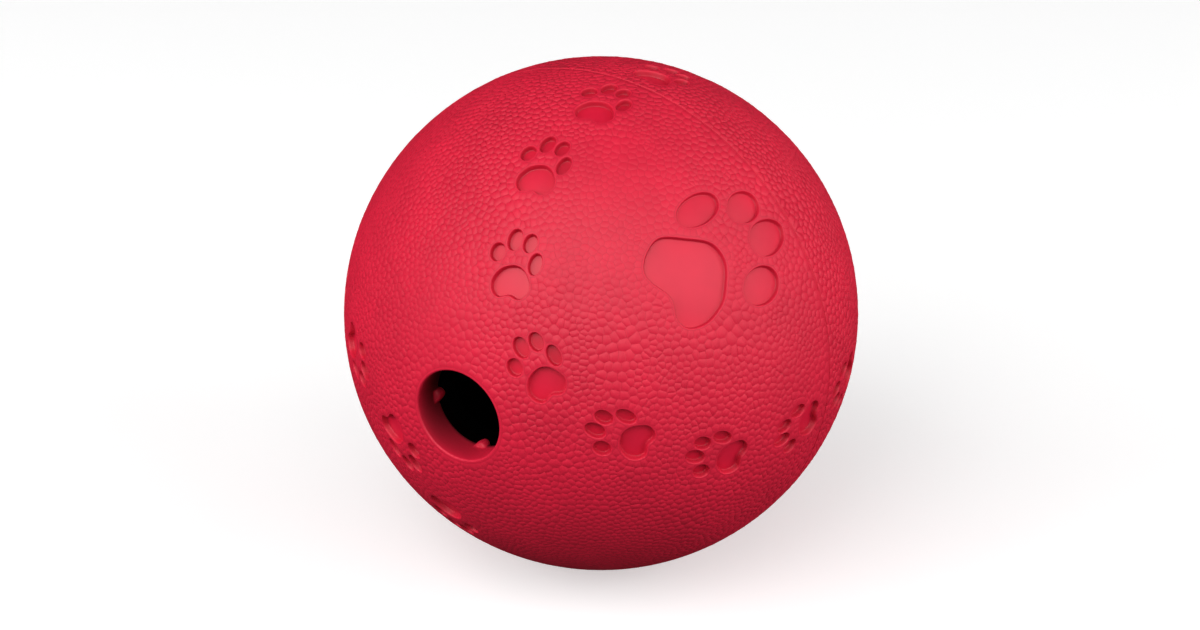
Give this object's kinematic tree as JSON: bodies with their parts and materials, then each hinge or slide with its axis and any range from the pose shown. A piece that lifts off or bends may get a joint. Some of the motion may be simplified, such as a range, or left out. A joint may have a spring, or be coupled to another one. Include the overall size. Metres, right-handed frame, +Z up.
{
  "type": "treat dispensing ball",
  "caption": "Hollow rubber ball with a treat hole, a labyrinth of discs inside and sunken paw prints on a pebbled skin.",
  "frame": {"origin": "centre of the ball", "axes": "+Z up as in the picture; the treat hole faces -Y; the seam lies in the XZ plane"},
  "size_m": [0.07, 0.0694, 0.07],
  "materials": {
    "red_rubber": "satin",
    "seam_rubber": "satin",
    "black_rubber": "matte",
    "rubber_cement": "satin"
  },
  "bodies": {
    "root": {"front_shell": "red_rubber", "rear_shell": "red_rubber", "seam_cement": "seam_rubber", "front_disc": "black_rubber", "seam_disc": "black_rubber", "rear_disc": "black_rubber", "front_disc_cement": "rubber_cement", "rear_disc_cement": "rubber_cement"}
  },
  "joints": []
}
